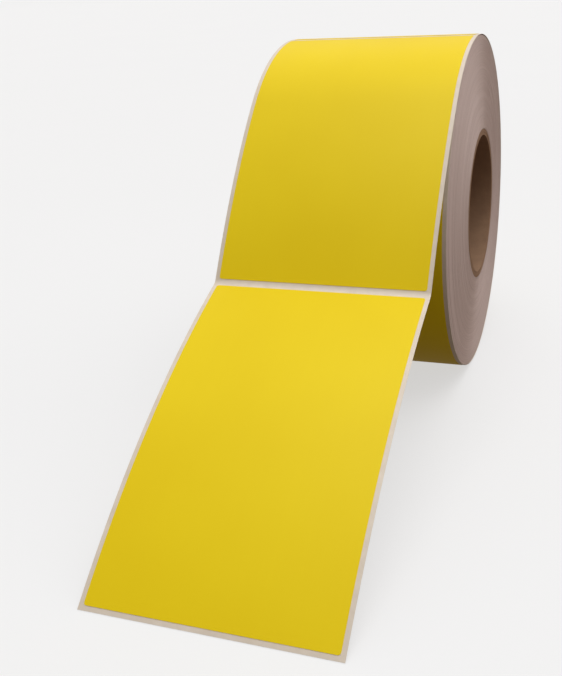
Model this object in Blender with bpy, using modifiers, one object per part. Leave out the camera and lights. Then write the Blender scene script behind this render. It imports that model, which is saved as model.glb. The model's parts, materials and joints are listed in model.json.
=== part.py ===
"""A roll of die-cut vinyl labels on a release liner, wound face out on a paperboard core.

The roll lies on its rim with its axis along X.  The web comes off over the top towards -Y,
bends once in the bare gap between two labels, and curls down to the surface in front.  The
wound turns lean a little towards +X, so the core stands out of the roll's outer turn there.
"""

import math

import bpy

# Driving dimensions, in metres.
CORE_BORE = 0.0762
CORE_WALL = 0.0032
ROLL_DIAMETER = 0.183
LINER_WIDTH = 0.1056
LABEL_WIDTH = 0.1016
LABEL_LENGTH = 0.160
LABEL_GAP = 0.004
SHEET = 0.0005
FREE_LENGTH = 0.0995
CORE_SHIFT = 0.002
TAPE_WIDTH = 0.048
TAPE_LENGTH = 0.040

# Shape of the web that is off the roll.  Headings are measured below the horizontal.
LEAVE_ANGLE = math.radians(47)
FREE_CURL = math.radians(14)
TAIL_CURL = math.radians(21)

# Fits.
CLEARANCE = 0.0003
RUNNING_CLEARANCE = 0.0004
FOLD_CLEARANCE = 0.0004
TUCK_ANGLE = math.radians(18)
SHORTEST_LABEL = 0.020

# Facets.
TURN_STEP = math.radians(5)
STRAIGHT_STEP = 0.012
TURNED_STEPS = 72
MERGE = 0.00001

# Sizes that follow from the ones above.
LABEL_OFFSET = SHEET + CLEARANCE
LINER_RADIUS = ROLL_DIAMETER / 2 - SHEET / 2 - LABEL_OFFSET
FACET_FLAT = math.cos(TURN_STEP / 2)
PACK_RADIUS = (LINER_RADIUS - SHEET / 2) * FACET_FLAT - RUNNING_CLEARANCE
CORE_RADIUS = CORE_BORE / 2 + CORE_WALL
PITCH = LABEL_LENGTH + LABEL_GAP
TAIL_LENGTH = PITCH
WRAP_LENGTH = LINER_RADIUS * (2 * math.pi - TUCK_ANGLE)
WEB_LENGTH = FREE_LENGTH + WRAP_LENGTH
AXIS_HEIGHT = ROLL_DIAMETER / 2 * FACET_FLAT


def along_arc(start, heading, curl, length, distance):
    """Point and heading a distance along an arc that turns down by curl over its length."""
    turned = curl * distance / length
    chord = distance * math.sin(turned / 2) / (turned / 2) if turned else distance
    middle = heading + turned / 2
    y = start[0] - chord * math.cos(middle)
    z = start[1] - chord * math.sin(middle)
    return y, z, heading + turned


LEAVE_POINT = (-LINER_RADIUS * math.cos(LEAVE_ANGLE), LINER_RADIUS * math.sin(LEAVE_ANGLE))
LEAVE_HEADING = math.pi / 2 - LEAVE_ANGLE
FOLD_POINT = along_arc(LEAVE_POINT, LEAVE_HEADING, FREE_CURL, FREE_LENGTH, FREE_LENGTH)[:2]

# The tail starts at the heading that brings its cut end down to the surface.
TAIL_CHORD = TAIL_LENGTH * math.sin(TAIL_CURL / 2) / (TAIL_CURL / 2)
TAIL_DROP = AXIS_HEIGHT + FOLD_POINT[1] - SHEET / 2
TAIL_HEADING = math.asin(TAIL_DROP / TAIL_CHORD) - TAIL_CURL / 2


def web_point(station, offset=0.0):
    """Point of the web in the roll's own (y, z), offset outwards from the liner's middle.

    Stations are lengths along the liner: 0 at the fold, negative down the tail to its cut
    end, and positive up the free web and then over the top and round the roll.
    """
    if station < 0:
        y, z, heading = along_arc(FOLD_POINT, TAIL_HEADING, TAIL_CURL, TAIL_LENGTH, -station)
    elif station < FREE_LENGTH:
        down = FREE_LENGTH - station
        y, z, heading = along_arc(LEAVE_POINT, LEAVE_HEADING, FREE_CURL, FREE_LENGTH, down)
    else:
        angle = LEAVE_ANGLE + (station - FREE_LENGTH) / LINER_RADIUS
        y = -LINER_RADIUS * math.cos(angle)
        z = LINER_RADIUS * math.sin(angle)
        heading = math.pi / 2 - angle
    return y - offset * math.sin(heading), z + offset * math.cos(heading)


def grid_stations():
    """Stations of the facet edges, the same for every layer, with a facet flat at the bottom."""
    tail_parts = round(TAIL_LENGTH / STRAIGHT_STEP)
    free_parts = round(FREE_LENGTH / STRAIGHT_STEP)
    grid = [-TAIL_LENGTH * i / tail_parts for i in range(1, tail_parts)]
    grid += [FREE_LENGTH * i / free_parts for i in range(1, free_parts + 1)]
    first = math.ceil(LEAVE_ANGLE / TURN_STEP) + 0.5
    turns = int((2 * math.pi - TUCK_ANGLE) / TURN_STEP)
    for i in range(turns):
        angle = (first + i) * TURN_STEP
        grid.append(FREE_LENGTH + LINER_RADIUS * (angle - LEAVE_ANGLE))
    return sorted(grid)


def stations_between(low, high):
    """The two ends and the facet edges between them, without slivers at the ends."""
    inner = [s for s in grid_stations() if low + STRAIGHT_STEP / 6 < s < high - STRAIGHT_STEP / 6]
    return [low] + inner + [high]


def clear_scene():
    for item in list(bpy.data.objects):
        bpy.data.objects.remove(item, do_unlink=True)


def new_collection(name):
    made = bpy.data.collections.new(name)
    bpy.context.scene.collection.children.link(made)
    return made


def new_material(name, colour, roughness):
    made = bpy.data.materials.new(name)
    made.use_nodes = True
    shader = made.node_tree.nodes["Principled BSDF"]
    shader.inputs["Base Color"].default_value = (*colour, 1.0)
    shader.inputs["Roughness"].default_value = roughness
    shader.inputs["Metallic"].default_value = 0.0
    return made


def new_empty(name, place, parent, collection):
    made = bpy.data.objects.new(name, None)
    made.empty_display_size = 0.01
    made.location = place
    made.parent = parent
    collection.objects.link(made)
    return made


def new_strip(name, places, width, thickness, parent, collection, material=None):
    """A bent strip of sheet whose middle runs through places, (y, z) from its parent."""
    outline = bpy.data.curves.new(name, "CURVE")
    outline.dimensions = "2D"
    outline.fill_mode = "NONE"
    outline.extrude = width / 2
    spline = outline.splines.new("POLY")
    spline.points.add(len(places) - 1)
    for point, (y, z) in zip(spline.points, places):
        point.co = (y, z, 0.0, 1.0)
    if material:
        outline.materials.append(material)
    made = bpy.data.objects.new(name, outline)
    made.rotation_euler = (math.pi / 2, 0.0, math.pi / 2)
    made.parent = parent
    collection.objects.link(made)
    shell = made.modifiers.new("thickness", "SOLIDIFY")
    shell.thickness = thickness
    shell.offset = 0.0
    shell.use_even_offset = True
    return made


def web_places(low, high, offset, pivot=(0.0, 0.0)):
    """Points of the web between two stations, measured from a pivot in the roll's (y, z)."""
    places = [web_point(s, offset) for s in stations_between(low, high)]
    return [(y - pivot[0], z - pivot[1]) for y, z in places]


def tape_places(radius, length):
    """Points along a short arc round the core, centred below the axis."""
    parts = math.ceil(length / radius / TURN_STEP)
    angles = [(i / parts - 0.5) * length / radius - math.pi / 2 for i in range(parts + 1)]
    return [(radius * math.cos(angle), radius * math.sin(angle)) for angle in angles]


def new_tube(name, inner, outer, outer_shift, parent, collection, material):
    """A turned ring about the roll's axis.  Its inner edge is shifted with the core."""
    half = LINER_WIDTH / 2
    corners = [
        (outer, 0.0, outer_shift + half),
        (outer, 0.0, outer_shift - half),
        (inner, 0.0, CORE_SHIFT - half),
        (inner, 0.0, CORE_SHIFT + half),
    ]
    profile = bpy.data.meshes.new(name)
    profile.from_pydata(corners, [(0, 1), (1, 2), (2, 3), (3, 0)], [])
    profile.materials.append(material)
    made = bpy.data.objects.new(name, profile)
    made.rotation_euler = (0.0, math.pi / 2, 0.0)
    made.parent = parent
    collection.objects.link(made)
    turn = made.modifiers.new("turn", "SCREW")
    turn.steps = TURNED_STEPS
    turn.render_steps = TURNED_STEPS
    turn.use_merge_vertices = True
    turn.merge_threshold = MERGE
    turn.use_smooth_shade = True
    return made


def as_mesh(source, collection):
    """The evaluated shape of a curve object as a mesh object in the same place."""
    bpy.context.view_layer.update()
    ready = source.evaluated_get(bpy.context.evaluated_depsgraph_get())
    shape = bpy.data.meshes.new_from_object(ready)
    made = bpy.data.objects.new(source.name + "_mesh", shape)
    made.matrix_world = source.matrix_world.copy()
    collection.objects.link(made)
    bpy.data.objects.remove(source, do_unlink=True)
    return made


def make_core(parent, collection):
    board = new_material("core_board", (0.34, 0.22, 0.13), 0.85)
    new_tube("core_tube", CORE_BORE / 2, CORE_RADIUS, CORE_SHIFT, parent, collection, board)


def make_start_tape(parent, collection):
    """The tape that holds the first turn to the core, in a pocket of the wound web."""
    film = new_material("tape_film", (0.62, 0.52, 0.33), 0.4)
    places = tape_places(CORE_RADIUS + CLEARANCE + SHEET / 2, TAPE_LENGTH)
    tape = new_strip("start_tape", places, TAPE_WIDTH, SHEET, parent, collection, film)
    tape.location.x = CORE_SHIFT


def make_wound_web(parent, collection, cutters):
    """All the inner turns, as one ring with a pocket over the tape."""
    sides = new_material("wound_edges", (0.36, 0.29, 0.27), 0.75)
    inner = CORE_RADIUS + CLEARANCE
    ring = new_tube("wound_web", inner, PACK_RADIUS, 0.0, parent, collection, sides)
    depth = SHEET + 2 * CLEARANCE
    places = tape_places(CORE_RADIUS + depth / 2, TAPE_LENGTH + 2 * CLEARANCE)
    width = TAPE_WIDTH + 2 * CLEARANCE
    pocket = new_strip("tape_pocket", places, width, depth, parent, cutters)
    pocket.location.x = CORE_SHIFT
    cutter = as_mesh(pocket, cutters)
    cutter.hide_render = True
    cutter.display_type = "WIRE"
    cut = ring.modifiers.new("tape_pocket", "BOOLEAN")
    cut.operation = "DIFFERENCE"
    cut.solver = "EXACT"
    cut.object = cutter


def make_liners(axis, fold, collection):
    liner = new_material("release_liner", (0.80, 0.74, 0.64), 0.5)
    turn = web_places(FOLD_CLEARANCE, WEB_LENGTH, 0.0)
    new_strip("liner_outer_turn", turn, LINER_WIDTH, SHEET, axis, collection, liner)
    tail = web_places(-TAIL_LENGTH, -FOLD_CLEARANCE, 0.0, FOLD_POINT)
    new_strip("liner_tail_end", tail, LINER_WIDTH, SHEET, fold, collection, liner)


def make_labels(axis, peel, peel_point, collection):
    """Label 1 is on the tail; the others follow up the free web and round the roll."""
    vinyl = new_material("label_vinyl", (0.80, 0.60, 0.02), 0.35)
    first = web_places(LABEL_GAP / 2 - TAIL_LENGTH, -LABEL_GAP / 2, LABEL_OFFSET, peel_point)
    new_strip("label_1", first, LABEL_WIDTH, SHEET, peel, collection, vinyl)
    number = 2
    start = LABEL_GAP / 2
    while start + SHORTEST_LABEL < WEB_LENGTH:
        end = min(start + LABEL_LENGTH, WEB_LENGTH)
        places = web_places(start, end, LABEL_OFFSET)
        new_strip(f"label_{number}", places, LABEL_WIDTH, SHEET, axis, collection, vinyl)
        number += 1
        start += PITCH


def main():
    clear_scene()
    collection = new_collection("label_roll")
    cutters = new_collection("cutters")

    # The origin is below the middle of the whole length, from the roll's back to the cut end.
    end_y = web_point(-TAIL_LENGTH, SHEET / 2)[0]
    axis_y = -(end_y + ROLL_DIAMETER / 2 * FACET_FLAT) / 2
    axis = new_empty("roll_axis", (-CORE_SHIFT / 2, axis_y, AXIS_HEIGHT), None, collection)
    fold = new_empty("fold_line", (0.0, *FOLD_POINT), axis, collection)
    peel_point = web_point(-LABEL_GAP / 2, LABEL_OFFSET - SHEET / 2)
    from_fold = (0.0, peel_point[0] - FOLD_POINT[0], peel_point[1] - FOLD_POINT[1])
    peel = new_empty("peel_line", from_fold, fold, collection)

    make_core(axis, collection)
    make_start_tape(axis, collection)
    make_wound_web(axis, collection, cutters)
    make_liners(axis, fold, collection)
    make_labels(axis, peel, peel_point, collection)
    print("roll axis at y", round(axis_y, 6), "z", round(AXIS_HEIGHT, 6))
    print("fold at", [round(v, 6) for v in (axis_y + FOLD_POINT[0], AXIS_HEIGHT + FOLD_POINT[1])])
    print("peel at", [round(v, 6) for v in (axis_y + peel_point[0], AXIS_HEIGHT + peel_point[1])])


main()
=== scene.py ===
"""Looks for the roll of blank vinyl labels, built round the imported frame.

The sheets get their real thickness, the labels their die-cut corners, the wound sides their
slit edges, and the core its plies and seam.  All places come from the frame's joints and boxes.
"""

import json
import math
import random

import bpy
import bmesh
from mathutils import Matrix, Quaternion, Vector


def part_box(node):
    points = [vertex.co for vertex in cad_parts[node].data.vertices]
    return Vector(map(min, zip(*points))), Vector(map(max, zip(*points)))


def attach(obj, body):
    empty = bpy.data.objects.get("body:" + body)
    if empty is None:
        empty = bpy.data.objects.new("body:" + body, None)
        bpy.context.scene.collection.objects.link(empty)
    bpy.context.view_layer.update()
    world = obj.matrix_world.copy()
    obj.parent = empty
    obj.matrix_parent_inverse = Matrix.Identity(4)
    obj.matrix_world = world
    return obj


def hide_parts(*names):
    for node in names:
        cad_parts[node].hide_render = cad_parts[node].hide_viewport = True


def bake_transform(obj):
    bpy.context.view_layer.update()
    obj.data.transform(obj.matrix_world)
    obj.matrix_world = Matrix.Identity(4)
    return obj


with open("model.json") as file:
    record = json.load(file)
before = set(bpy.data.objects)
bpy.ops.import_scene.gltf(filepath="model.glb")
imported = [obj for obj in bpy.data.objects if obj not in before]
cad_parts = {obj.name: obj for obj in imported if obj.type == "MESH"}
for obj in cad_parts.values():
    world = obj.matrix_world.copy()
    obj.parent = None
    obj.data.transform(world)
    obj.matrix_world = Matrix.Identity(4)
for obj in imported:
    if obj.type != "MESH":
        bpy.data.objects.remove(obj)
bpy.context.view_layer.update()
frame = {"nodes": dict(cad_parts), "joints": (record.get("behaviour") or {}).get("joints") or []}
JOINTS = {joint["name"]: joint for joint in frame["joints"]}
AXIS = Vector(JOINTS["core_turn"]["pos_m"])
FOLD = Vector(JOINTS["tail_lift"]["pos_m"])

# The web's line, as the frame has it.  Lengths in metres, headings below the horizontal.
LABEL_LENGTH = 0.160
LABEL_GAP = 0.004
WEB_LABELS = 4
PITCH = LABEL_LENGTH + LABEL_GAP
FREE_LENGTH = 0.0995
LEAVE_ANGLE = math.radians(47)
FREE_CURL = math.radians(14)
TAIL_CURL = math.radians(21)
CAD_SHEET = 0.0005
CAD_FIT = 0.0003

# Real thicknesses, and the labels' round die-cut corners.
LABEL_THICK = 0.00013
LINER_THICK = 0.00010
FILM_LIFT = 0.000004
TURN_SLACK = 0.00002
TURN_DROP = LABEL_THICK + LINER_THICK + TURN_SLACK
CORNER_RADIUS = 0.0012
CORNER_STEPS = 8

# The outer turn runs a little past its start, under the web; the fold is rounded over its reach.
OVERRUN = 1.006
FOLD_REACH = 0.0017

# Steps of the sheets' meshes, along and across them.
WEB_STEP = 0.0035
FREE_STEP = 0.004
NEAR_FOLD = 0.005
NEAR_FOLD_STEP = 0.00035
ROW_GAP = 0.001
STEPS_ACROSS = 10
SHEET_SHARP = math.radians(40)

# Light: a sun, a small panel placed from the roll's axis, and the surround's brightness each way.
KEY_STRENGTH = 1.14
KEY_WIDTH = math.radians(50)
KEY_TOWARD = Vector((0.14, -0.03, 1.0))
NEAR_POWER = 0.18
NEAR_SIZE = 0.26
NEAR_PLACE = Vector((0.04, -0.15, 0.33))
SKY_FRONT = 0.33
SKY_BACK = 0.70
SKY_RIGHT = 2.05
SKY_BELOW = 0.22

# Both round pieces.
LATHE_STEPS = 180
LATHE_SHARP = math.radians(35)

# Wound sides: rings of slit edges, each standing a little in or out and wandering round its turn.
# A ring's marks are shares of its pitch, with 1 where the point lies in the groove to the next.
RING_PITCH = 0.00075
RING_MARKS = ((0.0, 0), (0.62, 0), (0.66, 1), (0.96, 1))
SIDE_GROOVE = 0.00012
RING_DRIFT = 0.00003
RING_JITTER = 0.000025
RING_KEPT = 0.86
RING_SWAY = 0.00003
RING_RIPPLE = 0.00002
SIDE_INSET = 0.00006
RIM_INSET = 0.0004
MOUTH_INSET = 0.0006
UNDER_LINER = 0.00012

# Core: plies that end a little apart, and a helical seam in the bore.
# A ply's marks are shares of its thickness.
PLY_COUNT = 6
PLY_MARKS = (0.06, 0.90)
PLY_SWAY = 0.00004
PLY_RIPPLE = 0.00003
PLY_SPREAD = 0.00022
PLY_INSET = 0.00008
BORE_STEP = 0.0012
BORE_EDGE = 0.0008
SKIN_EDGE = 0.0006
SEAM_LEAD = 0.120
SEAM_HALF = 0.0007
SEAM_DEPTH = 0.00018
SEAM_SLANT = 0.8

# Camera: its place from the middle of the web on the roll's axis, and its yaw, pitch and roll.
CAMERA_PLACE = Vector((0.13226, -0.49178, 0.12836))
CAMERA_TURN = [math.radians(angle) for angle in (-19.81, 21.414, -3.29)]
CAMERA_LENS = 47.49
CAMERA_SHIFT = (-0.0592, -0.0296)


def radii(node):
    """Least and greatest distance of a CAD node's corners from the roll's axis."""
    found = [math.hypot(v.co.y - AXIS.y, v.co.z - AXIS.z) for v in frame["nodes"][node].data.vertices]
    return min(found), max(found)


def span(node):
    """Middle and half width of a CAD node along the roll's axis."""
    low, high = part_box(node)
    return (low.x + high.x) / 2, (high.x - low.x) / 2


ROLL_RADIUS = radii("label_3")[1]
CORE_INNER, CORE_OUTER = radii("core_tube")
WEB_X, HALF_LINER = span("liner_outer_turn")
HALF_LABEL = span("label_3")[1]
CORE_X, HALF_CORE = span("core_tube")
CAD_LINER_RADIUS = ROLL_RADIUS - 1.5 * CAD_SHEET - CAD_FIT
LIFT = ROLL_RADIUS - CAD_LINER_RADIUS - LABEL_THICK - LINER_THICK / 2
TURN_LENGTH = 2 * math.pi * CAD_LINER_RADIUS
WEB_END = FREE_LENGTH + TURN_LENGTH * OVERRUN
LEAVE_POINT = (-CAD_LINER_RADIUS * math.cos(LEAVE_ANGLE), CAD_LINER_RADIUS * math.sin(LEAVE_ANGLE))
FOLD_POINT = (FOLD.y - AXIS.y, FOLD.z - AXIS.z)
TAIL_CHORD = PITCH * math.sin(TAIL_CURL / 2) / (TAIL_CURL / 2)
TAIL_HEADING = math.asin((FOLD.z - CAD_SHEET / 2) / TAIL_CHORD) - TAIL_CURL / 2


# ---------------------------------------------------------------- the web's line


def along_arc(start, heading, curl, length, distance):
    """Point and heading a distance along an arc that turns down by curl over its length."""
    turned = curl * distance / length
    chord = distance * math.sin(turned / 2) / (turned / 2) if turned else distance
    middle = heading + turned / 2
    y = start[0] - chord * math.cos(middle)
    z = start[1] - chord * math.sin(middle)
    return y, z, heading + turned


def smooth(share):
    """A share from 0 to 1, eased at both ends."""
    share = min(max(share, 0.0), 1.0)
    return share * share * (3 - 2 * share)


def plain_web_point(station):
    """Middle of the liner in the roll's (y, z), and its heading, with a sharp fold."""
    if station < 0:
        return along_arc(FOLD_POINT, TAIL_HEADING, TAIL_CURL, PITCH, -station)
    if station < FREE_LENGTH:
        y, z, heading = along_arc(
            LEAVE_POINT, math.pi / 2 - LEAVE_ANGLE, FREE_CURL, FREE_LENGTH, FREE_LENGTH - station
        )
        lift = LIFT * smooth(station / FREE_LENGTH)
    else:
        angle = LEAVE_ANGLE + (station - FREE_LENGTH) / CAD_LINER_RADIUS
        y = -CAD_LINER_RADIUS * math.cos(angle)
        z = CAD_LINER_RADIUS * math.sin(angle)
        heading = math.pi / 2 - angle
        lift = LIFT - TURN_DROP * (station - FREE_LENGTH) / TURN_LENGTH
    return y - lift * math.sin(heading), z + lift * math.cos(heading), heading


def web_point(station, offset=0.0):
    """The same line with the fold rounded off, offset outwards, in the world's (y, z)."""
    if abs(station) < FOLD_REACH:
        share = (FOLD_REACH - station) / (2 * FOLD_REACH)
        upper = plain_web_point(FOLD_REACH)
        lower = plain_web_point(-FOLD_REACH)
        y, z = (
            (1 - share) ** 2 * upper[i] + 2 * share * (1 - share) * FOLD_POINT[i] + share**2 * lower[i]
            for i in range(2)
        )
        heading = upper[2] + share * (lower[2] - upper[2])
    else:
        y, z, heading = plain_web_point(station)
    return AXIS.y + y - offset * math.sin(heading), AXIS.z + z + offset * math.cos(heading)


def spread(low, high, step):
    """Evenly spread values from low to high, at most a step apart."""
    count = max(1, math.ceil((high - low) / step))
    return [low + (high - low) * i / count for i in range(count + 1)]


# ---------------------------------------------------------------- mesh helpers


def new_piece(name, mesh, material, body):
    """An object in the scene with its material, riding on a body where one is named."""
    made = bpy.data.objects.new(name, mesh)
    bpy.context.scene.collection.objects.link(made)
    mesh.materials.append(material)
    if body:
        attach(made, body)
    return made


def finished_mesh(name, mesh):
    """Smooth-shaded mesh data made from a bmesh, which is freed."""
    bmesh.ops.recalc_face_normals(mesh, faces=mesh.faces)
    made = bpy.data.meshes.new(name)
    mesh.to_mesh(made)
    mesh.free()
    made.shade_smooth()
    return made


def sheet_mesh(name, rows, width_at, offset, thickness):
    """A closed sheet: rows are stations, and width_at gives its half width at each one."""
    mesh = bmesh.new()
    columns = STEPS_ACROSS
    layers = []
    for side in (0.5, -0.5):
        layer = []
        for station in rows:
            half = width_at(station)
            line = []
            for i in range(columns + 1):
                x = WEB_X + half * (2 * i / columns - 1)
                y, z = web_point(station, offset + side * thickness)
                line.append(mesh.verts.new((x, y, z)))
            layer.append(line)
        layers.append(layer)
    top, base = layers
    last = len(rows) - 1
    for r in range(last):
        for c in range(columns):
            mesh.faces.new((top[r][c], top[r][c + 1], top[r + 1][c + 1], top[r + 1][c]))
            mesh.faces.new((base[r][c], base[r + 1][c], base[r + 1][c + 1], base[r][c + 1]))
        for c, turn in ((0, 1), (columns, -1)):
            rim = (top[r][c], top[r + 1][c], base[r + 1][c], base[r][c])
            mesh.faces.new(rim[::turn])
    for r, turn in ((0, -1), (last, 1)):
        for c in range(columns):
            rim = (top[r][c], top[r][c + 1], base[r][c + 1], base[r][c])
            mesh.faces.new(rim[::turn])
    made = finished_mesh(name, mesh)
    made.set_sharp_from_angle(angle=SHEET_SHARP)
    return made


def lathe_mesh(name, loop, place):
    """A ring turned about X.  place(point, angle) gives (x, radius) for a point of the loop."""
    mesh = bmesh.new()
    rings = []
    for i in range(LATHE_STEPS):
        angle = 2 * math.pi * i / LATHE_STEPS
        ring = []
        for point in loop:
            x, radius = place(point, angle)
            ring.append(mesh.verts.new((x, radius * math.cos(angle), radius * math.sin(angle))))
        rings.append(ring)
    count = len(loop)
    for i in range(LATHE_STEPS):
        here, there = rings[i], rings[(i + 1) % LATHE_STEPS]
        for j in range(count):
            k = (j + 1) % count
            mesh.faces.new((here[j], here[k], there[k], there[j]))
    made = finished_mesh(name, mesh)
    made.set_sharp_from_angle(angle=LATHE_SHARP)
    return made


# ---------------------------------------------------------------- materials


class Shader:
    """A Principled material with short ways to add the nodes that drive it."""

    def __init__(self, name, roughness, **values):
        self.material = bpy.data.materials.new(name)
        self.material.use_nodes = True
        self.tree = self.material.node_tree
        self.main = self.tree.nodes["Principled BSDF"]
        self.main.inputs["Roughness"].default_value = roughness
        for socket, value in values.items():
            self.main.inputs[socket.replace("_", " ")].default_value = value
        self.place = self.tree.nodes.new("ShaderNodeTexCoord").outputs["Object"]

    def link(self, source, target):
        self.tree.links.new(source, target)

    def scaled(self, factors):
        node = self.tree.nodes.new("ShaderNodeMapping")
        node.inputs["Scale"].default_value = factors
        self.link(self.place, node.inputs["Vector"])
        return node.outputs["Vector"]

    def noise(self, scale, detail=3.0, rough=0.5, vector=None):
        node = self.tree.nodes.new("ShaderNodeTexNoise")
        node.inputs["Scale"].default_value = scale
        node.inputs["Detail"].default_value = detail
        node.inputs["Roughness"].default_value = rough
        self.link(vector or self.place, node.inputs["Vector"])
        return node.outputs["Fac"]

    def noise_along(self, value, scale, detail):
        """Noise that changes only with a number, such as the distance from the axis."""
        node = self.tree.nodes.new("ShaderNodeTexNoise")
        node.noise_dimensions = "1D"
        node.inputs["Scale"].default_value = scale
        node.inputs["Detail"].default_value = detail
        self.link(value, node.inputs["W"])
        return node.outputs["Fac"]

    def ramp(self, value, stops):
        node = self.tree.nodes.new("ShaderNodeValToRGB")
        ramp = node.color_ramp
        while len(ramp.elements) < len(stops):
            ramp.elements.new(0.5)
        for element, (place, colour) in zip(ramp.elements, stops):
            element.position = place
            element.color = (*colour, 1.0)
        self.link(value, node.inputs["Fac"])
        return node.outputs["Color"]

    def mix(self, share, first, second):
        node = self.tree.nodes.new("ShaderNodeMix")
        node.data_type = "RGBA"
        before, after = (socket for socket in node.inputs if socket.type == "RGBA")
        self.link(first, before)
        after.default_value = (*second, 1.0)
        self.link(share, node.inputs["Factor"])
        return next(socket for socket in node.outputs if socket.type == "RGBA")

    def range(self, value, low, high):
        node = self.tree.nodes.new("ShaderNodeMapRange")
        node.inputs["To Min"].default_value = low
        node.inputs["To Max"].default_value = high
        self.link(value, node.inputs["Value"])
        return node.outputs["Result"]

    def bump(self, height, depth, strength, under=None):
        node = self.tree.nodes.new("ShaderNodeBump")
        node.inputs["Strength"].default_value = strength
        node.inputs["Distance"].default_value = depth
        self.link(height, node.inputs["Height"])
        if under:
            self.link(under, node.inputs["Normal"])
        return node.outputs["Normal"]

    def finish(self, colour, roughness=None, normal=None):
        sockets = {"Base Color": colour, "Roughness": roughness, "Normal": normal}
        for name, source in sockets.items():
            if source:
                self.link(source, self.main.inputs[name])
        return self.material


def vinyl_material():
    """Satin calendered film: slight orange peel, faint lengthwise streaks of the coating."""
    film = Shader("label_vinyl", 0.42, Specular_IOR_Level=0.16)
    broad = film.noise(14.0, 2.0)
    streaks = film.noise(1.0, 3.0, vector=film.scaled((260.0, 3.0, 3.0)))
    tone = film.ramp(broad, [(0.3, (0.820, 0.605, 0.004)), (0.7, (0.855, 0.645, 0.006))])
    tone = film.mix(film.range(streaks, 0.0, 0.14), tone, (0.78, 0.56, 0.003))
    peel = film.noise(620.0, 2.0)
    fine = film.noise(2600.0, 3.0)
    normal = film.bump(peel, 0.00006, 0.55)
    normal = film.bump(fine, 0.00001, 0.5, normal)
    rough = film.range(film.noise(70.0, 3.0), 0.38, 0.48)
    return film.finish(tone, rough, normal)


def liner_material():
    """Siliconised glassine: off-white, mottled, with short fibres lying mostly lengthwise."""
    paper = Shader("release_liner", 0.42, IOR=1.46)
    cloud = paper.noise(160.0, 5.0, 0.6)
    fibres = paper.noise(1.0, 4.0, 0.6, paper.scaled((2400.0, 500.0, 500.0)))
    tone = paper.ramp(cloud, [(0.3, (0.68, 0.59, 0.48)), (0.7, (0.76, 0.67, 0.56))])
    tone = paper.mix(paper.range(fibres, 0.0, 0.25), tone, (0.62, 0.52, 0.40))
    normal = paper.bump(fibres, 0.00003, 0.5)
    rough = paper.range(cloud, 0.34, 0.50)
    return paper.finish(tone, rough, normal)


def wound_side_material():
    """Slit edges of the turns: fine rings of liner and film, dusty, with faint knife marks."""
    edge = Shader("wound_edges", 0.62, IOR=1.46)
    flat = edge.scaled((0.0, 1.0, 1.0))
    length = edge.tree.nodes.new("ShaderNodeVectorMath")
    length.operation = "LENGTH"
    edge.link(flat, length.inputs[0])
    radius = length.outputs["Value"]
    turns = edge.noise_along(radius, 5200.0, 2.0)
    bands = edge.noise_along(radius, 260.0, 3.0)
    rings = edge.noise_along(radius, 1100.0, 4.0)
    smudge = edge.noise(22.0, 4.0, 0.6)
    tone = edge.ramp(turns, [(0.30, (0.47, 0.365, 0.335)), (0.70, (0.71, 0.58, 0.545))])
    tone = edge.mix(edge.range(bands, 0.0, 0.55), tone, (0.67, 0.545, 0.50))
    tone = edge.mix(edge.range(smudge, 0.0, 0.30), tone, (0.54, 0.42, 0.37))
    dark_share = edge.ramp(rings, [(0.42, (0, 0, 0)), (0.68, (0.22, 0.22, 0.22))])
    pale_share = edge.ramp(bands, [(0.50, (0, 0, 0)), (0.75, (0.22, 0.22, 0.22))])
    tone = edge.mix(dark_share, tone, (0.36, 0.27, 0.245))
    tone = edge.mix(pale_share, tone, (0.80, 0.69, 0.66))
    marks = edge.noise(1.0, 3.0, 0.6, edge.scaled((10.0, 30.0, 900.0)))
    normal = edge.bump(turns, 0.00008, 0.6)
    normal = edge.bump(marks, 0.00003, 0.25, normal)
    rough = edge.range(bands, 0.52, 0.72)
    return edge.finish(tone, rough, normal)


def board_material():
    """Brown spiral-wound paperboard: mottled, fibrous, a little glossier where it is rubbed."""
    board = Shader("core_board", 0.8, IOR=1.45)
    cloud = board.noise(120.0, 5.0, 0.65)
    specks = board.noise(1500.0, 3.0, 0.7)
    fibres = board.noise(1.0, 4.0, 0.7, board.scaled((320.0, 1500.0, 1500.0)))
    tone = board.ramp(cloud, [(0.3, (0.262, 0.143, 0.077)), (0.7, (0.348, 0.200, 0.112))])
    tone = board.mix(board.range(fibres, 0.0, 0.4), tone, (0.165, 0.095, 0.056))
    tone = board.mix(board.range(specks, 0.0, 0.25), tone, (0.34, 0.24, 0.16))
    normal = board.bump(fibres, 0.00008, 0.6)
    rough = board.range(cloud, 0.70, 0.90)
    return board.finish(tone, rough, normal)


def tape_material():
    """Clear yellowish packing tape over the core."""
    film = Shader("tape_film", 0.35, IOR=1.5)
    tone = film.ramp(film.noise(90.0, 3.0), [(0.3, (0.58, 0.48, 0.30)), (0.7, (0.66, 0.56, 0.36))])
    return film.finish(tone, film.range(film.noise(300.0), 0.28, 0.42))


def floor_material():
    """Pale paper that glows a little, so that shadows on it stay faint."""
    floor = Shader("floor_paper", 0.85, Emission_Color=(1.0, 1.0, 1.0, 1.0), Emission_Strength=0.60)
    stops = [(share, (grey, grey, grey)) for share, grey in ((0.0, 0.245), (1.0, 0.255))]
    tone = floor.ramp(floor.noise(3.0, 2.0), stops)
    return floor.finish(tone)


# ---------------------------------------------------------------- pieces


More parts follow.
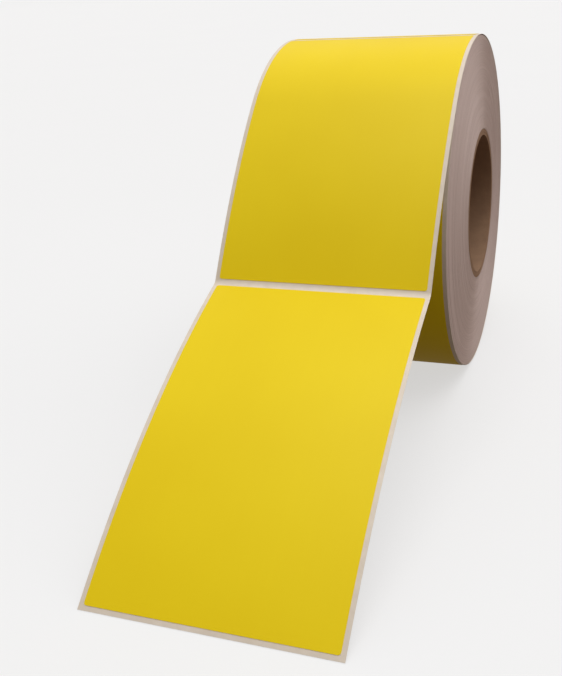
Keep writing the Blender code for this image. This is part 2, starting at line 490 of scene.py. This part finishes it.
def make_liner(material):
    """The whole liner in one sheet.  It bends between the web and the tail at the fold."""
    rows = spread(-PITCH, -NEAR_FOLD - ROW_GAP, FREE_STEP)
    rows += spread(-NEAR_FOLD, NEAR_FOLD, NEAR_FOLD_STEP)
    rows += spread(NEAR_FOLD + ROW_GAP, FREE_LENGTH, FREE_STEP)
    rows += spread(FREE_LENGTH + 3 * ROW_GAP, WEB_END, WEB_STEP)
    mesh = sheet_mesh("liner", rows, lambda station: HALF_LINER, 0.0, LINER_THICK)
    liner = new_piece("liner", mesh, material, None)
    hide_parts("liner_outer_turn", "liner_tail_end")
    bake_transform(liner)


def label_width(low, high):
    """Half width of a label at each station, with round die-cut corners."""

    def half(station):
        inset = min(station - low, high - station)
        if inset >= CORNER_RADIUS:
            return HALF_LABEL
        short = CORNER_RADIUS - max(inset, 0.0)
        return HALF_LABEL - CORNER_RADIUS + math.sqrt(CORNER_RADIUS**2 - short**2)

    return half


def label_rows(low, high):
    """Stations of a label, closer together in its round corners."""
    turns = [math.pi / 2 * i / CORNER_STEPS for i in range(CORNER_STEPS + 1)]
    corner = [CORNER_RADIUS * (1 - math.cos(turn)) for turn in turns]
    middle = spread(low + CORNER_RADIUS, high - CORNER_RADIUS, WEB_STEP)[1:-1]
    return [low + c for c in corner] + middle + [high - c for c in reversed(corner)]


def make_label(number, low, high, material, body, node):
    """One label's film, lying on the liner between two stations."""
    name = f"label_{number}_film"
    offset = (LINER_THICK + LABEL_THICK) / 2 + FILM_LIFT
    mesh = sheet_mesh(name, label_rows(low, high), label_width(low, high), offset, LABEL_THICK)
    label = new_piece(name, mesh, material, body)
    if node:
        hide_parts(node)


def make_labels(material):
    """One on the tail, four on the web, and the start of a sixth where the turn goes under it."""
    make_label(1, -PITCH + LABEL_GAP / 2, -LABEL_GAP / 2, material, "first_label", "label_1")
    for k in range(WEB_LABELS):
        low = k * PITCH + LABEL_GAP / 2
        make_label(k + 2, low, low + LABEL_LENGTH, material, "web", f"label_{k + 2}")
    low = WEB_LABELS * PITCH + LABEL_GAP / 2
    make_label(WEB_LABELS + 2, low, WEB_END, material, "web", None)


def ring_offsets(count):
    """How far each ring of slit edges stands out, and where its wander starts."""
    draw = random.Random(7)
    drift = 0.0
    rings = []
    for _ in range(count):
        drift = RING_KEPT * drift + draw.uniform(-1, 1) * RING_DRIFT
        rings.append((drift + draw.uniform(-1, 1) * RING_JITTER, draw.uniform(0, 2 * math.pi)))
    return rings


def pack_loop(count):
    """Points round the wound turns: the right side outwards, the rim, the left side, the bore."""
    marks = [(k, share, groove) for k in range(count) for share, groove in RING_MARKS]
    loop = [(1, *mark) for mark in marks]
    loop += [("rim", 1, 0, 0), ("rim", -1, 0, 0)]
    loop += [(-1, *mark) for mark in reversed(marks)]
    loop += [("bore", -1, 0, 0), ("bore", -1, 1, 0), ("bore", 1, 1, 0), ("bore", 1, 0, 0)]
    return loop


def make_pack(material):
    """The wound turns: rings of slit edges on both sides, and the start tape's pocket inside."""
    inner = CORE_OUTER + CAD_FIT
    outer = ROLL_RADIUS - LABEL_THICK - LINER_THICK - TURN_DROP - UNDER_LINER
    count = int((outer - inner) / RING_PITCH)
    pitch = (outer - inner) / count
    rings = ring_offsets(count)
    deepest = max(inset for inset, _ in rings)
    pocket_depth = CAD_SHEET + CAD_FIT
    pocket_half = span("start_tape")[1] + CAD_FIT

    def place(point, angle):
        kind, k, share, groove = point
        if kind == "rim":
            return WEB_X + k * (HALF_LINER - RIM_INSET), outer
        if kind == "bore":
            half = pocket_half if share else HALF_LINER - MOUTH_INSET
            return CORE_X + k * half, inner + (pocket_depth if share else 0.0)
        inset, phase = rings[k]
        wander = RING_SWAY * math.sin(angle + phase) + RING_RIPPLE * math.sin(3 * angle + 2 * phase)
        x = HALF_LINER - (deepest - inset) - SIDE_INSET + wander - groove * SIDE_GROOVE
        middle = CORE_X + (WEB_X - CORE_X) * (k + share) / count
        return middle + kind * x, inner + (k + share) * pitch

    mesh = lathe_mesh("wound_turns", pack_loop(count), place)
    pack = new_piece("wound_turns", mesh, material, None)
    pack.location = AXIS
    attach(pack, "pack")
    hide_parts("wound_web")


def make_core(material):
    """Spiral-wound tube: plies show as steps at its ends, and a seam winds along its bore."""
    draw = random.Random(11)
    stations = spread(BORE_EDGE - HALF_CORE, HALF_CORE - BORE_EDGE, BORE_STEP)
    ply = (CORE_OUTER - CORE_INNER) / PLY_COUNT
    ends = {side: [draw.uniform(0.0, PLY_SPREAD) for _ in range(PLY_COUNT)] for side in (1, -1)}
    loop = [("bore", x) for x in stations]
    for k in range(PLY_COUNT):
        loop += [("end", 1, k, share) for share in PLY_MARKS]
    loop += [("skin", side * (HALF_CORE - SKIN_EDGE)) for side in (1, -1)]
    for k in reversed(range(PLY_COUNT)):
        loop += [("end", -1, k, share) for share in reversed(PLY_MARKS)]

    def place(point, angle):
        if point[0] == "bore":
            x = point[1]
            phase = (x / SEAM_LEAD - angle / (2 * math.pi)) % 1.0
            away = min(phase, 1 - phase) * SEAM_LEAD * SEAM_SLANT
            groove = SEAM_DEPTH * max(0.0, 1 - (away / SEAM_HALF) ** 2)
            return CORE_X + x, CORE_INNER + groove
        if point[0] == "skin":
            return CORE_X + point[1], CORE_OUTER
        side, k, share = point[1:]
        wave = PLY_SWAY * math.sin(2 * angle + 1.7 * k) + PLY_RIPPLE * math.sin(5 * angle + 2.3 * k)
        x = HALF_CORE - PLY_INSET - ends[side][k] + wave
        return CORE_X + side * x, CORE_INNER + (k + share) * ply

    mesh = lathe_mesh("core_board_tube", loop, place)
    core = new_piece("core_board_tube", mesh, material, None)
    core.location = AXIS
    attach(core, "pack")
    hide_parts("core_tube")


def dress_tape(material):
    """The hidden start tape keeps its CAD shape and gets a material."""
    tape = frame["nodes"]["start_tape"]
    for slot in tape.material_slots:
        slot.material = material


# ---------------------------------------------------------------- studio


def make_studio(material):
    """A pale round room: a level floor that curves up into a wall on every side."""
    level, bend, bend_steps, steps = 9.0, 4.0, 12, 48
    profile = [(0.0, 0.0), (level, 0.0)]
    for i in range(1, bend_steps + 1):
        turn = math.pi / 2 * i / bend_steps
        profile.append((level + bend * math.sin(turn), bend - bend * math.cos(turn)))
    profile.append((level + bend, 3 * bend))
    mesh = bmesh.new()
    lines = []
    for i in range(steps):
        turn = 2 * math.pi * i / steps
        lines.append([mesh.verts.new((r * math.cos(turn), r * math.sin(turn), z)) for r, z in profile])
    for i in range(steps):
        here, there = lines[i], lines[(i + 1) % steps]
        for j in range(len(profile) - 1):
            mesh.faces.new((here[j], here[j + 1], there[j + 1], there[j]))
    bmesh.ops.remove_doubles(mesh, verts=mesh.verts, dist=0.0001)
    room = new_piece("room", finished_mesh("room", mesh), material, None)
    # It is seen and takes shadows, but it neither blocks the surround nor throws light back.
    room.visible_diffuse = room.visible_glossy = room.visible_shadow = False


def make_key():
    """A wide soft sun overhead."""
    sun = bpy.data.lights.new("key", "SUN")
    sun.energy = KEY_STRENGTH
    sun.angle = KEY_WIDTH
    sun.color = (1.0, 0.985, 0.96)
    key = bpy.data.objects.new("key", sun)
    bpy.context.scene.collection.objects.link(key)
    key.rotation_euler = (-KEY_TOWARD).to_track_quat("-Z", "Y").to_euler()
    key.location = KEY_TOWARD


def make_near_panel():
    """A small round light above the front of the roll, which the camera doesn't see."""
    panel = bpy.data.lights.new("near_panel", "AREA")
    panel.shape = "DISK"
    panel.size = NEAR_SIZE
    panel.energy = NEAR_POWER
    near = bpy.data.objects.new("near_panel", panel)
    bpy.context.scene.collection.objects.link(near)
    near.location = Vector((WEB_X, AXIS.y, AXIS.z)) + NEAR_PLACE
    down = AXIS - near.location
    near.rotation_euler = down.to_track_quat("-Z", "Y").to_euler()
    near.visible_camera = False


def make_surround():
    """A pale world that is brighter on the right, behind and above, and warm from below."""
    world = bpy.data.worlds.new("studio")
    world.use_nodes = True
    tree = world.node_tree
    glow = tree.nodes["Background"]
    place = tree.nodes.new("ShaderNodeTexCoord")
    parts = tree.nodes.new("ShaderNodeSeparateXYZ")
    tree.links.new(place.outputs["Generated"], parts.inputs["Vector"])
    shares = []
    for source, values in (
        ("X", (-0.6, 0.6, 1.0, SKY_RIGHT)),
        ("Y", (-0.6, 0.6, SKY_FRONT, SKY_BACK)),
        ("Z", (-0.1, 0.7, SKY_BELOW, 1.0)),
    ):
        share = tree.nodes.new("ShaderNodeMapRange")
        for socket, value in zip(("From Min", "From Max", "To Min", "To Max"), values):
            share.inputs[socket].default_value = value
        tree.links.new(parts.outputs[source], share.inputs["Value"])
        shares.append(share.outputs["Result"])
    product = shares[0]
    for share in shares[1:]:
        times = tree.nodes.new("ShaderNodeMath")
        times.operation = "MULTIPLY"
        tree.links.new(product, times.inputs[0])
        tree.links.new(share, times.inputs[1])
        product = times.outputs["Value"]
    tree.links.new(product, glow.inputs["Strength"])
    tint = tree.nodes.new("ShaderNodeValToRGB")
    tint.color_ramp.elements[0].color = (1.0, 0.75, 0.56, 1.0)
    tint.color_ramp.elements[1].color = (0.98, 0.98, 1.0, 1.0)
    tree.links.new(shares[-1], tint.inputs["Fac"])
    tree.links.new(tint.outputs["Color"], glow.inputs["Color"])
    bpy.context.scene.world = world
    bpy.context.scene.view_settings.view_transform = "Standard"


def make_camera():
    """In front of the roll, to its right and a little above, turned down to the left."""
    lens = bpy.data.cameras.new("camera")
    lens.lens = CAMERA_LENS
    lens.sensor_width = 36.0
    lens.shift_x, lens.shift_y = CAMERA_SHIFT
    camera = bpy.data.objects.new("camera", lens)
    bpy.context.scene.collection.objects.link(camera)
    camera.location = Vector((WEB_X, AXIS.y, AXIS.z)) + CAMERA_PLACE
    yaw, pitch, roll = CAMERA_TURN
    level = math.cos(pitch)
    ahead = Vector((math.sin(yaw) * level, math.cos(yaw) * level, -math.sin(pitch)))
    turn = ahead.to_track_quat("-Z", "Y") @ Quaternion((0.0, 0.0, 1.0), roll)
    camera.rotation_euler = turn.to_euler()
    bpy.context.scene.camera = camera


def main():
    make_camera()
    make_liner(liner_material())
    make_labels(vinyl_material())
    make_pack(wound_side_material())
    make_core(board_material())
    dress_tape(tape_material())
    make_studio(floor_material())
    make_key()
    make_near_panel()
    make_surround()


main()
